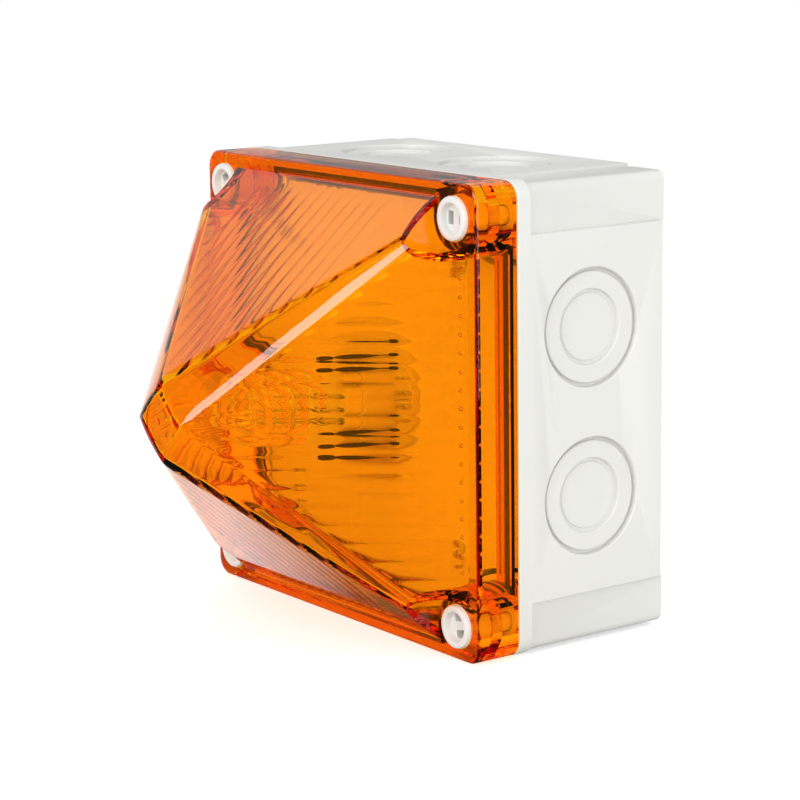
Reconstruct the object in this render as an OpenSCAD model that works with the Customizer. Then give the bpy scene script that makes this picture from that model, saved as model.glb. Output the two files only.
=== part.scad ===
// Flashing warning beacon: a pyramid lens cover screwed to a square junction box.
// +Z is up, the lens faces -Y, and the origin is the middle of the plane of the wall feet.

/* [Box] */
// Width of the box and of the lens rim
box_w = 130; // [125:1:170]
// Height of the box and of the lens rim
box_h = 130; // [125:1:170]
// Depth from the wall to the front of the flange
box_d = 52; // [46:1:80]
// Wall thickness of the box
wall = 3; // [2.4:0.1:4]
// Corner radius of the flange and of the lens rim
corner_r = 5; // [2:0.5:8]
// Depth of the flange that carries the seal
flange_d = 4.5; // [4:0.5:8]
// Width of the recessed corner pillars
pillar_w = 14.5; // [10:0.5:20]
// How far the pillars lie below the side panels
pillar_step = 1; // [0.5:0.1:1.5]
// Outer corner radius of the pillars
pillar_r = 2.5; // [1:0.5:4]
// How far the pillars stand off the back panel as feet
foot_h = 1.2; // [0.5:0.1:3]

/* [Knock-outs] */
// Diameter of the large knock-out
ko_large_d = 33; // [25:0.5:33]
// Diameter of the small knock-out inside it
ko_small_d = 21; // [16:0.5:21]
// Width of the groove around each knock-out
ko_groove_w = 1.2; // [0.8:0.1:1.6]
// Depth of each knock-out's step
ko_step = 0.9; // [0.4:0.1:0.9]
// Thickness of the web that is left under each groove
ko_web = 0.7; // [0.5:0.1:0.8]
// Distance of a knock-out's centre from the middle of its side
ko_offset = 23.4; // [20:0.2:24]

/* [Lid screws] */
// Distance of a lid screw's axis from the outside of the rim
screw_inset = 9.5; // [9:0.5:10]
// Diameter of the tubular head
head_d = 12; // [11:0.5:12]
// Length of the head
head_len = 7.4; // [6:0.1:9]
// How far the head stands out of the rim
head_proud = 1.2; // [0:0.1:2]
// Diameter of the recess in the head
head_recess_d = 8.4; // [7.8:0.1:9]
// Depth of the recess in the head
head_recess = 2.2; // [1:0.1:3]
// Diameter of the shank
shank_d = 8.8; // [8.2:0.1:9]
// Length of the shank under the head
shank_len = 18; // [12:1:24]
// Bore of the hollow shank
shank_bore = 6.8; // [5:0.1:7]
// Clearance around a part that turns or lifts out
clear = 0.3; // [0.3:0.05:0.5]
// Outer diameter of the box column around a lid screw
column_d = 15; // [14:0.5:16]
// Diameter of the wall-fixing hole at the foot of a column
fixing_d = 4.8; // [3:0.1:5.5]
// Depth of material under the head of a wall-fixing screw
fixing_floor = 8; // [5:0.5:12]

/* [Lens cover] */
// Depth of the rim, from the flange to the flat around the pyramid
rim_d = 14.2; // [12:0.2:24]
// Height of the pyramid above the rim
pyramid_d = 59.1; // [40:0.5:80]
// Half the diagonal of the flat at the top of the pyramid
apex_half = 10.3; // [8:0.1:14]
// Width of the flat strip between pyramid and rim edge
base_inset = 4.2; // [3.5:0.1:6]
// Wall thickness of the lens cover
lens_wall = 2.5; // [2:0.1:2.6]
// Radius of the pocket in the pyramid's corner for a lid screw
pocket_r = 8.5; // [7.5:0.1:9]
// Width of the inward lip that presses on the seal
lip_w = 8; // [7:0.5:9]
// Thickness of the lip
lip_t = 2; // [1.5:0.1:3]
// Thickness of the ledge under a lid screw's head
ledge_t = 3; // [2:0.5:4]
// Diameter of the shallow round mark on the top of the pyramid
apex_mark_d = 10.8; // [6:0.2:11]
// Depth of that mark
apex_mark_t = 0.4; // [0.1:0.1:0.8]

/* [Seal] */
// Width of the seal
seal_w = 3.5; // [3:0.5:5]
// Depth of the seal's groove
seal_groove = 2; // [1:0.1:2.5]
// Distance of the seal's outer edge from the outside of the box
seal_inset = 2.7; // [2.2:0.1:3]
// Width of the land inside the seal
seal_land = 1.7; // [1:0.1:2.5]

/* [Circuit board and light tray] */
// Gap between the circuit board and the inside of the box
board_gap = 13; // [10:0.5:14]
// Thickness of the circuit board
board_t = 1.6; // [1:0.1:2.4]
// Height of the bosses that carry the board
boss_h = 8; // [5:0.5:14]
// Distance of the bosses from the edges of the board
boss_inset = 8; // [6:0.5:9]
// Diameter of the bosses
boss_d = 8; // [7:0.5:9]
// Diameter of the pillars between board and tray
pillar_d = 7; // [6:0.5:8]
// Diameter of the studs and screws of the pillars
stud_d = 3; // [2.5:0.5:4]
// Thickness of the light tray
tray_t = 2; // [1.5:0.1:3]
// Gap around the tray
tray_gap = 1.6; // [1:0.1:3]
// Depth of the skirt at the edge of the tray
tray_skirt = 5; // [2:0.5:8]

/* [Flash tube] */
// Width of the socket's edge around the ceramic base
socket_rim = 1.5; // [0.5:0.1:3]
// Height of the socket above its flange
socket_h = 11.5; // [8:0.5:20]
// Width of the flange around the socket
socket_ear = 6.5; // [6:0.5:9]
// Thickness of the socket's flange
socket_flange_t = 2.5; // [2:0.5:4]
// Height of the ceramic base
tube_base_h = 5; // [4:0.5:8]
// Radius of the coil, to the middle of the glass
coil_r = 9.2; // [8.6:0.1:9.5]
// Diameter of the glass
glass_d = 4.6; // [4:0.1:5]
// Rise of the coil in one turn
coil_pitch = 6; // [5.6:0.1:7]
// Turns in the coil
coil_turns = 3.5; // [2.5:0.5:3.5]
// Length of the straight leg under the coil
leg_len = 5; // [4:0.5:8]
// Thickness of the trigger wire's hoop
hoop_d = 1; // [0.6:0.1:1.2]
// Diameter of the insulated leads
lead_d = 2; // [1.6:0.1:2.4]
// Distance of the leads from the middle of the socket
lead_r = 8; // [7:0.5:9]

/* [Components] */
// Diameter of the storage capacitor
capacitor_d = 22; // [18:1:25]
// Height of the storage capacitor
capacitor_h = 30; // [20:1:30]
// Width of the converter's core
core_w = 25; // [22:1:26]
// Height of the core
core_h = 20; // [18:1:22]
// Thickness of the core
core_t = 12; // [10:1:12]
// Width of the heat sink
sink_w = 18; // [16:1:20]
// Height of the heat sink
sink_h = 26; // [22:1:28]
// Thickness of the heat sink's sheet
sink_t = 2; // [1:0.5:2]
// Pitch of the supply terminals
terminal_pitch = 7.5; // [6:0.5:8]
// Height of the terminal block above the board
terminal_h = 17; // [14:1:20]
// Depth of the terminal block, from its wire entries to its back
terminal_w = 13; // [11:1:14]
// Diameter of a clamp screw's head
clamp_d = 4; // [3:0.2:4.4]

/* [Hidden] */
$fn = 64;

// Overlap of joined solids and of cuts, and the play of a screw in its hole
over = 1;
fit = 0.1;
// Slot of the small screws, and what a small screw's head adds to its diameter
slot_w = 0.8;
slot_t = 1;
head_t = 1.8;
head_extra = 2.4;
// Supply terminals
terminal_n = 4;

// Planes across the depth, from the wall forward
panel_y = -foot_h;
floor_y = panel_y - wall;
front_y = -box_d;
lens_y = front_y - clear;
rim_y = front_y - rim_d;
apex_y = rim_y - pyramid_d;
board_back_y = floor_y - boss_h;
board_y = board_back_y - board_t;
tray_back_y = front_y + tray_t;
head_front_y = rim_y - head_proud;
head_back_y = head_front_y + head_len;
shank_tip_y = head_back_y + shank_len;
socket_y = front_y - socket_flange_t - socket_h;
tube_base_y = socket_y - tube_base_h;

screw_x = box_w / 2 - screw_inset;
screw_z = box_h / 2 - screw_inset;
shank_hole = shank_d + 2 * clear;
column_bore = shank_hole + 2 * fit;

inner_w = box_w - 2 * (pillar_step + wall);
inner_h = box_h - 2 * (pillar_step + wall);
board_w = inner_w - 2 * board_gap;
board_h = inner_h - 2 * board_gap;
boss_x = board_w / 2 - boss_inset;
boss_z = board_h / 2 - boss_inset;

base_x = box_w / 2 - base_inset;
base_z = box_h / 2 - base_inset;

// Seal band: its insets from the outside and its radii around a column
seal_in = seal_inset + seal_w;
seal_r = (column_d - 0.5) / 2;
lip_r = seal_r + seal_w;
land_in = seal_in + seal_land;
land_r = lip_r + seal_land;

// Flash tube: its coil, the bend and the leg at each end of it, and the wire around it
bend = 2.6;
leg_in_r = 2.8;
turn_in_a = 100;
crest = 1.2;
coil_a = 360 * coil_turns;
coil_rise = coil_pitch * coil_turns;
coil_start_y = tube_base_y - leg_len - bend;
coil_end_y = coil_start_y - coil_rise;
bend_a = bend / coil_r * 180 / PI;
wire_r = coil_r + glass_d / 2 + hoop_d;
tube_base_d = 2 * wire_r + hoop_d;
socket_d = tube_base_d + 2 * socket_rim;

// Leads and pins of the socket, and the studs under the board
lead_hole = lead_d + 1;
lead_end_y = front_y - 4;
pin_d = 2;
pin_hole = pin_d + 2 * fit;
pin_len = 4.5;
stud_len = boss_h - 2;

// Place on the board, as a distance in from one of its edges
function edge_x(inset, side) = side * (board_w / 2 - inset);
function edge_z(inset, side) = side * (board_h / 2 - inset);

// Converter: its middle leg, its outer legs, its winding and its height off the board
core_leg = 6.5;
core_side = 3.5;
core_lift = 3;
winding_t = core_t + 6;
core_at = [edge_x(21, 1), board_y - core_lift, edge_z(26, 1)];

// Heat sink: the face that the transistor lies on, the depth of its sides, the tab and its hole
sink_at = [edge_x(18, -1), board_y, -11];
sink_side = 11;
tab_t = 1.4;
tab_hole_h = 16;

// Terminals: the block's front, the cages in it, and their screws
terminal_at = [0, 0, edge_z(8.5, -1)];
terminal_top = board_y - terminal_h;
cage_top = terminal_top + 6;
cage_back = board_y - 3;
cage_w = terminal_pitch - 2.4;
cage_t = 1;
cage_wall = 3;
cage_roof = 2.5;
clamp_thread = 3;
clamp_t = 3;

amber = [0.96, 0.52, 0.04, 0.75];
grey = [0.94, 0.94, 0.92];
white = [0.97, 0.97, 0.95];
steel = [0.75, 0.76, 0.78];
dark = [0.16, 0.14, 0.13];

// ---------- helpers ----------

// Round bar along Y from y0 to y1
module bar_y(d, y0, y1) {
    translate([0, y0, 0]) rotate([-90, 0, 0]) cylinder(h = y1 - y0, d = d);
}

// Flat outline in X and Z, carried along Y from y0 to y1
module slab_y(y0, y1) {
    translate([0, y1, 0]) rotate([90, 0, 0]) linear_extrude(height = y1 - y0) children();
}

// Block from corner a to corner b
module block(a, b) {
    translate(a) cube(b - a);
}

// Rectangle with round corners
module rounded(w, h, r) {
    square([w - 2 * r, h], center = true);
    square([w, h - 2 * r], center = true);
    for (x = [-1, 1], z = [-1, 1]) translate([x * (w / 2 - r), z * (h / 2 - r)]) circle(r = r);
}

// Puts its children at the four lid screws
module at_screws() {
    for (x = [-1, 1], z = [-1, 1]) translate([x * screw_x, 0, z * screw_z]) children();
}

// Puts its children at the four board bosses
module at_bosses() {
    for (x = [-1, 1], z = [-1, 1]) translate([x * boss_x, 0, z * boss_z]) children();
}

// Rectangle inset from the outside of the box, less a notch of radius r around each lid screw
module notched(inset, r) {
    far = corner_r + screw_inset + r;
    difference() {
        square([box_w - 2 * inset, box_h - 2 * inset], center = true);
        for (x = [0, 1], z = [0, 1]) mirror([x, 0]) mirror([0, z]) translate([screw_x, screw_z]) {
            circle(r = r);
            translate([0, -r]) square([far, far]);
            translate([-r, 0]) square([far, far]);
        }
    }
}

// ---------- box ----------

// Places its children on each knock-out, with +X as the way out of the wall
module at_knockouts() {
    mid_y = (front_y + panel_y) / 2;
    for (side = [0 : 3], s = [-1, 1]) {
        reach = (side % 2 == 0 ? box_w : box_h) / 2;
        rotate([0, 90 * side, 0]) translate([reach, mid_y, s * ko_offset]) rotate([0, 90, 0]) children();
    }
}

// What one double knock-out takes out of its wall; z = 0 is the wall's outside
module knockout_cut() {
    groove = wall - ko_web;
    translate([0, 0, -ko_step]) cylinder(h = ko_step + over, d = ko_large_d);
    translate([0, 0, -2 * ko_step]) cylinder(h = ko_step + over, d = ko_small_d);
    for (d = [ko_large_d, ko_small_d]) translate([0, 0, -groove]) difference() {
        cylinder(h = groove + over, d = d);
        translate([0, 0, -over]) cylinder(h = groove + 3 * over, d = d - 2 * ko_groove_w);
    }
}

module box_outside() {
    low_w = box_w - 2 * pillar_step;
    low_h = box_h - 2 * pillar_step;
    slab_y(front_y, front_y + flange_d) rounded(box_w, box_h, corner_r);
    slab_y(front_y, panel_y) rounded(low_w, low_h, pillar_r);
    slab_y(front_y, panel_y) square([box_w - 2 * pillar_w, box_h], center = true);
    slab_y(front_y, panel_y) square([box_w, box_h - 2 * pillar_w], center = true);
    // Feet: the pillars run on to the wall
    slab_y(panel_y - over, 0) difference() {
        rounded(low_w, low_h, pillar_r);
        square([box_w - 2 * pillar_w, box_h], center = true);
        square([box_w, box_h - 2 * pillar_w], center = true);
    }
}

module box_columns() {
    at_screws() bar_y(column_d, front_y, floor_y + over);
    // The columns run into the corner of the box
    fill = screw_inset - wall;
    for (x = [0, 1], z = [0, 1]) mirror([x, 0, 0]) mirror([0, 0, z]) {
        block([screw_x, front_y, screw_z - column_d / 2], [screw_x + fill, floor_y + over, screw_z + fill]);
        block([screw_x - column_d / 2, front_y, screw_z], [screw_x + fill, floor_y + over, screw_z + fill]);
    }
}

module back_box() {
    color(grey) difference() {
        union() {
            difference() {
                box_outside();
                slab_y(front_y + flange_d, floor_y) square([inner_w, inner_h], center = true);
                slab_y(front_y - over, front_y + flange_d + over) notched(land_in, land_r);
            }
            box_columns();
            at_bosses() bar_y(boss_d, board_back_y, floor_y + over);
        }
        at_knockouts() knockout_cut();
        at_screws() bar_y(column_bore, front_y - over, -fixing_floor);
        at_screws() bar_y(fixing_d, -fixing_floor - over, over);
        at_bosses() bar_y(stud_d, board_back_y - over, floor_y - over / 2);
        slab_y(front_y - over, front_y + seal_groove) seal_band();
    }
}

module seal_band() {
    difference() {
        notched(seal_inset, seal_r);
        notched(seal_in, lip_r);
    }
}

module lid_gasket() {
    color(dark) slab_y(lens_y, front_y + seal_groove) seal_band();
}

// ---------- lens cover ----------

// Eight-faced pyramid: rectangle base at y0, and a diamond with half diagonals top at y1
module pyramid(base, y0, top, y1) {
    x = base[0];
    z = base[1];
    points = [
        [x, y0, z], [-x, y0, z], [-x, y0, -z], [x, y0, -z],
        [0, y1, top[1]], [-top[0], y1, 0], [0, y1, -top[1]], [top[0], y1, 0]
    ];
    faces = [
        [1, 2, 3, 0], [7, 6, 5, 4],
        [4, 1, 0], [5, 2, 1], [6, 3, 2], [7, 0, 3],
        [5, 1, 4], [6, 2, 5], [7, 3, 6], [4, 0, 7]
    ];
    polyhedron(points = points, faces = faces);
}

// Slope of a main face whose base lies at half size base
function slope(base) = (base - apex_half) / pyramid_d;

// How much smaller the hollow is than the outside, one wall further back
function shrink(base) = lens_wall * (sqrt(1 + slope(base) ^ 2) - slope(base));

// The pyramid reaches back a little into the rim along its own slopes
module lens_outside() {
    back = lens_wall / 2;
    slab_y(rim_y, lens_y) rounded(box_w, box_h, corner_r);
    base = [for (b = [base_x, base_z]) b + back * slope(b)];
    pyramid(base, rim_y + back, [apex_half, apex_half], apex_y);
}

module lens_inside() {
    back = lens_wall / 2;
    hollow_y = rim_y + lens_wall;
    lip_y = lens_y - lip_t;
    slab_y(hollow_y, lip_y) square([box_w - 2 * lens_wall, box_h - 2 * lens_wall], center = true);
    slab_y(lip_y - over, lens_y + over) notched(lip_w, lip_r);
    base = [for (b = [base_x, base_z]) b - shrink(b) + back * slope(b)];
    top = [for (b = [base_x, base_z]) apex_half - shrink(b)];
    pyramid(base, hollow_y + back, top, apex_y + lens_wall);
}

module lens_cover() {
    corner = screw_inset - lens_wall;
    color(amber) difference() {
        union() {
            difference() {
                lens_outside();
                lens_inside();
            }
            // Walls of the screw pockets, trimmed to the outside of the cover
            intersection() {
                lens_outside();
                at_screws() bar_y(2 * (pocket_r + lens_wall), apex_y, lens_y);
            }
        }
        at_screws() bar_y(2 * pocket_r, apex_y - over, rim_y);
        at_screws() bar_y(head_d + 2 * clear, rim_y - over, head_back_y);
        at_screws() bar_y(shank_hole, head_back_y - over, lens_y + over);
        at_screws() bar_y(2 * corner, head_back_y + ledge_t, lens_y + over);
        bar_y(apex_mark_d, apex_y - over, apex_y + apex_mark_t);
    }
}

// Tubular screw on the Y axis; turn sets the bridge between its two windows
module lid_screw(turn) {
    window = [2.2, 3.6];
    bridge = 2.4;
    floor_t = 2;
    recess_y = head_front_y + head_recess;
    color(white) rotate([0, turn, 0]) difference() {
        union() {
            bar_y(head_d, head_front_y, head_back_y);
            bar_y(shank_d, head_back_y - over, shank_tip_y);
        }
        bar_y(head_recess_d, head_front_y - over, recess_y);
        bar_y(shank_bore, recess_y + floor_t, shank_tip_y + over);
        for (s = [-1, 1]) translate([s * (bridge + window[0]) / 2, 0, 0]) {
            slab_y(recess_y - over, recess_y + floor_t + over) square(window, center = true);
        }
    }
}

module lid_screw_tr() { translate([screw_x, 0, screw_z]) lid_screw(0); }
module lid_screw_tl() { translate([-screw_x, 0, screw_z]) lid_screw(60); }
module lid_screw_br() { translate([screw_x, 0, -screw_z]) lid_screw(80); }
module lid_screw_bl() { translate([-screw_x, 0, -screw_z]) lid_screw(20); }

// ---------- tray, board and pillars ----------

module light_tray() {
    edge = land_in + tray_gap;
    notch_r = land_r + tray_gap;
    color(white) difference() {
        slab_y(front_y, tray_back_y + tray_skirt) notched(edge, notch_r);
        slab_y(tray_back_y, tray_back_y + tray_skirt + over) notched(edge + tray_t, notch_r + tray_t);
        at_bosses() bar_y(stud_d + fit, front_y - over, tray_back_y + over);
        at_leads() bar_y(lead_hole, front_y - over, tray_back_y + over);
        at_socket_screws() bar_y(stud_d, front_y - over, tray_back_y + over);
    }
}

// Slotted screw with its head's back at y = 0; its shank runs back by len
module small_screw(len, crossed = false) {
    head = stud_d + head_extra;
    difference() {
        union() {
            bar_y(head, -head_t, 0);
            bar_y(stud_d - fit, -head_t / 2, len);
        }
        for (a = crossed ? [0, 90] : [0]) rotate([0, a, 0]) {
            block([-head, -head_t - over, -slot_w / 2], [head, slot_t - head_t, slot_w / 2]);
        }
    }
}

module tray_screws() {
    color(steel) at_bosses() translate([0, front_y, 0]) small_screw(8, crossed = true);
}

// Six-sided spacers, screwed through the board into its bosses
module tray_pillars() {
    color(steel) at_bosses() difference() {
        union() {
            translate([0, tray_back_y, 0]) rotate([-90, 0, 0]) {
                cylinder(h = board_y - tray_back_y, d = pillar_d, $fn = 6);
            }
            bar_y(stud_d - fit, board_y - over, board_back_y + stud_len);
        }
        bar_y(stud_d, tray_back_y - over, tray_back_y + 10);
    }
}

module driver_board() {
    color([0.12, 0.42, 0.24]) difference() {
        slab_y(board_y, board_back_y) square([board_w, board_h], center = true);
        at_bosses() bar_y(stud_d + 2 * fit, board_y - over, board_back_y + over);
    }
}

// ---------- flash tube ----------

module at_leads() {
    for (a = [90 : 120 : 330]) rotate([0, a, 0]) translate([lead_r, 0, 0]) children();
}

module at_socket_screws() {
    for (s = [-1, 1]) translate([s * (socket_d + socket_ear) / 2, 0, 0]) children();
}

module tube_socket() {
    color([0.85, 0.83, 0.76]) difference() {
        union() {
            bar_y(socket_d + 2 * socket_ear, front_y - socket_flange_t, front_y);
            bar_y(socket_d, socket_y, front_y);
        }
        at_socket_screws() bar_y(stud_d + 2 * fit, front_y - socket_flange_t - over, front_y + over);
        at_leads() bar_y(lead_hole, lead_end_y, front_y + over);
        at_leads() bar_y(pin_hole, socket_y - over, socket_y + pin_len + 0.5);
    }
}

module socket_screws() {
    color(steel) at_socket_screws() translate([0, front_y - socket_flange_t, 0]) {
        small_screw(socket_flange_t + tray_t + 1);
    }
}

// Insulated leads from the board up into the back of the socket
module tube_leads() {
    color([0.75, 0.12, 0.08]) at_leads() bar_y(lead_d, lead_end_y, board_y);
}

module tube_base() {
    color(white) {
        bar_y(tube_base_d, tube_base_y, socket_y);
        at_leads() bar_y(pin_d, socket_y - over, socket_y + pin_len);
    }
}

// Route of the glass: up from the base, round the coil, inward, and down its middle
function polar(r, a, y) = [r * cos(a), y, r * sin(a)];
function smooth(t) = t * t * (3 - 2 * t);
function glass_path() = concat(
    [for (t = [0, 0.5]) polar(coil_r, -bend_a, tube_base_y - leg_len * t)],
    [for (t = [0 : 18 : 72]) polar(coil_r, -bend_a * cos(t), coil_start_y + bend * (1 - sin(t)))],
    [for (a = [0 : 20 : coil_a]) polar(coil_r, a, coil_start_y - coil_rise * a / coil_a)],
    [for (t = [0.2 : 0.2 : 0.8]) polar(
        coil_r + (leg_in_r - coil_r) * smooth(t),
        coil_a + turn_in_a * t,
        coil_end_y - crest * sin(180 * t)
    )],
    [polar(leg_in_r, coil_a + turn_in_a, coil_end_y + 1)],
    [for (t = [0.15, 0.6, 1]) polar(
        leg_in_r, coil_a + turn_in_a,
        coil_end_y * (1 - t) + tube_base_y * t
    )]
);

function unit(v) = v / norm(v);
function along(p, i) = unit(p[min(i + 1, len(p) - 1)] - p[max(i - 1, 0)]);
function outward(p, i) = let (q = p[i], t = along(p, i), r = unit([q[0], 0, q[2]])) unit(r - t * (r * t));

// Round tube of radius r along the points p, with n sides and flat ends
module sweep(p, r, n) {
    rings = [for (i = [0 : len(p) - 1]) let (u = outward(p, i), v = cross(along(p, i), u))
        for (k = [0 : n - 1]) p[i] + r * (cos(360 * k / n) * u + sin(360 * k / n) * v)];
    last = len(p) - 1;
    sides = [for (i = [0 : last - 1], k = [0 : n - 1]) let (m = (k + 1) % n)
        [(i + 1) * n + k, (i + 1) * n + m, i * n + m, i * n + k]];
    first_cap = [for (k = [0 : n - 1]) k];
    last_cap = [for (k = [n - 1 : -1 : 0]) last * n + k];
    polyhedron(points = rings, faces = concat(sides, [first_cap, last_cap]));
}

module flash_tube() {
    color([0.95, 0.95, 0.92, 0.6]) sweep(glass_path(), glass_d / 2, 10);
}

// Bare wire beside the coil, with a hoop around its middle turn
module trigger_wire() {
    top = (coil_start_y + coil_end_y) / 2;
    color(steel) {
        rotate([0, 200, 0]) translate([wire_r, 0, 0]) bar_y(hoop_d - 2 * fit, top, tube_base_y);
        translate([0, top, 0]) rotate([-90, 0, 0]) rotate_extrude() translate([wire_r, 0]) circle(d = hoop_d);
    }
}

// ---------- components on the board ----------

module storage_capacitor() {
    at = [edge_x(20, -1), 0, edge_z(26, 1)];
    color([0.13, 0.16, 0.3]) translate(at) bar_y(capacitor_d, board_y - capacitor_h, board_y);
}

// Two E cores with their backs up and down, lifted off the board by the bobbin's feet
module converter_core() {
    hole_w = (core_w - core_leg) / 2 - core_side;
    color([0.2, 0.2, 0.22]) translate(core_at) difference() {
        block([-core_w / 2, -core_h, -core_t / 2], [core_w / 2, 0, core_t / 2]);
        for (s = [-1, 1]) translate([s * (core_leg + hole_w) / 2, -core_h / 2, 0]) {
            cube([hole_w, core_h - 2 * core_side, core_t + 2 * over], center = true);
        }
    }
}

// Winding around the middle leg, wider than the core is thick, and the bobbin's two feet
module converter_winding() {
    gap = 0.2;
    foot_t = 2;
    half_w = core_w / 2 - core_side - gap;
    top = core_side + gap - core_h;
    color([0.72, 0.4, 0.12]) translate(core_at) {
        difference() {
            block([-half_w, top, -winding_t / 2], [half_w, -core_side - gap, winding_t / 2]);
            block([-core_leg / 2, top - over, -core_t / 2], [core_leg / 2, over, core_t / 2]);
        }
        for (s = [-1, 1]) translate([0, 0, s * (winding_t - foot_t) / 2]) {
            block([-half_w, -core_h / 2, -foot_t / 2], [half_w, core_lift, foot_t / 2]);
        }
    }
}

// Spool with a flange at each end
module trigger_coil() {
    spool_d = 9;
    flange_d = 12;
    flange_t = 2;
    height = 14;
    color([0.85, 0.7, 0.2]) translate([0, board_y, edge_z(14, 1)]) {
        bar_y(spool_d, -height, 0);
        bar_y(flange_d, -flange_t, 0);
        bar_y(flange_d, -height, flange_t - height);
    }
}

module film_capacitor() {
    size = [18, 14, 8];
    right_edge = 11;
    foot_z = -9;
    color([0.75, 0.22, 0.12]) translate([edge_x(right_edge, 1) - size[0], board_y - size[1], foot_z]) cube(size);
}

// Bent sheet standing on the board, open towards the terminals
module heat_sink() {
    color(steel) translate(sink_at) difference() {
        block([-sink_w / 2, -sink_h, sink_t - sink_side], [sink_w / 2, 0, sink_t]);
        block([sink_t - sink_w / 2, -sink_h - over, -sink_side], [sink_w / 2 - sink_t, over, 0]);
        translate([0, -tab_hole_h, -over]) cylinder(h = sink_t + 2 * over, d = stud_d);
    }
}

// Body, tab and three legs, with its back flat on the heat sink
module power_transistor() {
    body_t = 4.5;
    body_w = 10;
    leg = 0.8;
    leg_at = -2.7;
    body_y = [-12.5, -3.5];
    color(dark) translate(sink_at) difference() {
        union() {
            block([-body_w / 2, body_y[0], -body_t], [body_w / 2, body_y[1], 0]);
            block([-body_w / 2, -tab_hole_h - 3, -tab_t], [body_w / 2, body_y[0], 0]);
            for (s = [-1 : 1]) translate([s * 2.5, 0, leg_at]) {
                block([-leg / 2, body_y[1] - over, 0], [leg / 2, 0, leg / 2]);
            }
        }
        translate([0, -tab_hole_h, -body_t]) cylinder(h = body_t + over, d = stud_d + 4 * fit);
    }
}

module heat_sink_screw() {
    color(steel) translate(sink_at + [0, -tab_hole_h, -tab_t]) rotate([90, 0, 0]) small_screw(6);
}

// Body on the board with a bent wire at each end
module axial(d, len, rise) {
    wire = 0.8;
    span = len / 2 + 2;
    translate([0, board_y - rise, 0]) rotate([0, 90, 0]) {
        cylinder(h = len, d = d, center = true);
        cylinder(h = 2 * span, d = wire, center = true);
    }
    for (s = [-1, 1]) translate([s * span, 0, 0]) bar_y(wire, board_y - rise - wire / 2, board_y);
}

module rectifier_diodes() {
    from_edge = 24;
    first_z = -16;
    pitch = 4.5;
    color([0.1, 0.1, 0.1]) for (i = [0 : 3]) {
        translate([edge_x(from_edge, 1), 0, first_z - pitch * i]) axial(d = 2.7, len = 6, rise = 1.7);
    }
}

module timing_resistors() {
    row_x = 2;
    first_z = -14;
    pitch = 5;
    color([0.8, 0.7, 0.5]) for (i = [0 : 2]) {
        translate([row_x, 0, first_z - pitch * i]) axial(d = 3.4, len = 10, rise = 2.2);
    }
}

// ---------- supply terminals ----------

function terminal_x(i) = (i - (terminal_n - 1) / 2) * terminal_pitch;

module at_terminals() {
    for (i = [0 : terminal_n - 1]) translate(terminal_at + [terminal_x(i), 0, 0]) children();
}

module terminal_block() {
    half = terminal_n * terminal_pitch / 2;
    side = cage_w / 2 + 2 * fit;
    low = terminal_w / 2;
    color([0.2, 0.45, 0.3]) difference() {
        translate(terminal_at) block([-half, terminal_top, -low], [half, board_y, low]);
        at_terminals() {
            bar_y(clamp_d + 2 * clear, terminal_top - over, cage_top);
            block([-side, cage_top - fit, -low - over], [side, cage_back, low - cage_wall]);
        }
    }
}

// Square sleeves that the wires are clamped in, each with its screw's hole in its top
module terminal_cages() {
    half = cage_w / 2;
    depth = 6;
    color(steel) at_terminals() difference() {
        block([-half, cage_top, -depth / 2], [half, cage_back, depth / 2]);
        block([cage_t - half, cage_top + cage_roof, -depth], [half - cage_t, cage_back - cage_t, depth]);
        bar_y(clamp_thread, cage_top - over, cage_top + cage_roof + over);
    }
}

module terminal_screw(i) {
    slot_y = cage_top - clamp_t + slot_t;
    color(steel) translate(terminal_at + [terminal_x(i), 0, 0]) difference() {
        union() {
            bar_y(clamp_d, cage_top - clamp_t, cage_top);
            bar_y(clamp_thread - fit, cage_top - over, cage_top + cage_roof + 0.5);
        }
        block([-clamp_d, cage_top - clamp_t - over, -slot_w / 2], [clamp_d, slot_y, slot_w / 2]);
    }
}

back_box();
lid_gasket();
lens_cover();
lid_screw_tr();
lid_screw_tl();
lid_screw_br();
lid_screw_bl();
light_tray();
tray_screws();
tray_pillars();
driver_board();
tube_socket();
socket_screws();
tube_leads();
tube_base();
flash_tube();
trigger_wire();
storage_capacitor();
converter_core();
converter_winding();
trigger_coil();
film_capacitor();
power_transistor();
heat_sink();
heat_sink_screw();
rectifier_diodes();
timing_resistors();
terminal_block();
terminal_cages();
terminal_screw(0);  // terminal_screw_1
terminal_screw(1);  // terminal_screw_2
terminal_screw(2);  // terminal_screw_3
terminal_screw(3);  // terminal_screw_4
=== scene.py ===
"""Looks of a flashing warning beacon: an amber pyramid cover screwed to a light grey junction box.

Sizes are millimetres in the part's own frame: +Z is up, the cover faces -Y, and the wall feet stand on Y = 0.
"""

import logging
import math
from dataclasses import dataclass, field
from enum import Enum
from typing import Callable, Sequence, Union

import bmesh
import bpy
import numpy as np
from mathutils import Matrix


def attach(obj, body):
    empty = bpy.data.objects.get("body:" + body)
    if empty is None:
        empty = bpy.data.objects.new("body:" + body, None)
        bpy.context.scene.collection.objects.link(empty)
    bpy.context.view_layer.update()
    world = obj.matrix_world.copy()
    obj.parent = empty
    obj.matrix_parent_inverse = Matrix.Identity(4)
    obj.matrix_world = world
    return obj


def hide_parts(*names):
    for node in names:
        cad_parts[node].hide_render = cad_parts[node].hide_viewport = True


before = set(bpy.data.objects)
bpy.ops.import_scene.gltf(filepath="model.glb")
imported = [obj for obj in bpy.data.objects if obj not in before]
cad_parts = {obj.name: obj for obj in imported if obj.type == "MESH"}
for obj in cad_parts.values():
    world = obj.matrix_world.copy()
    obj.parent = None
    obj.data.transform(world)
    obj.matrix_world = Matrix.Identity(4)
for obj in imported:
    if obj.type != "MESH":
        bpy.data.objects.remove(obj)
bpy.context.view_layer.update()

log = logging.getLogger("beacon")
MM = 0.001
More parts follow.
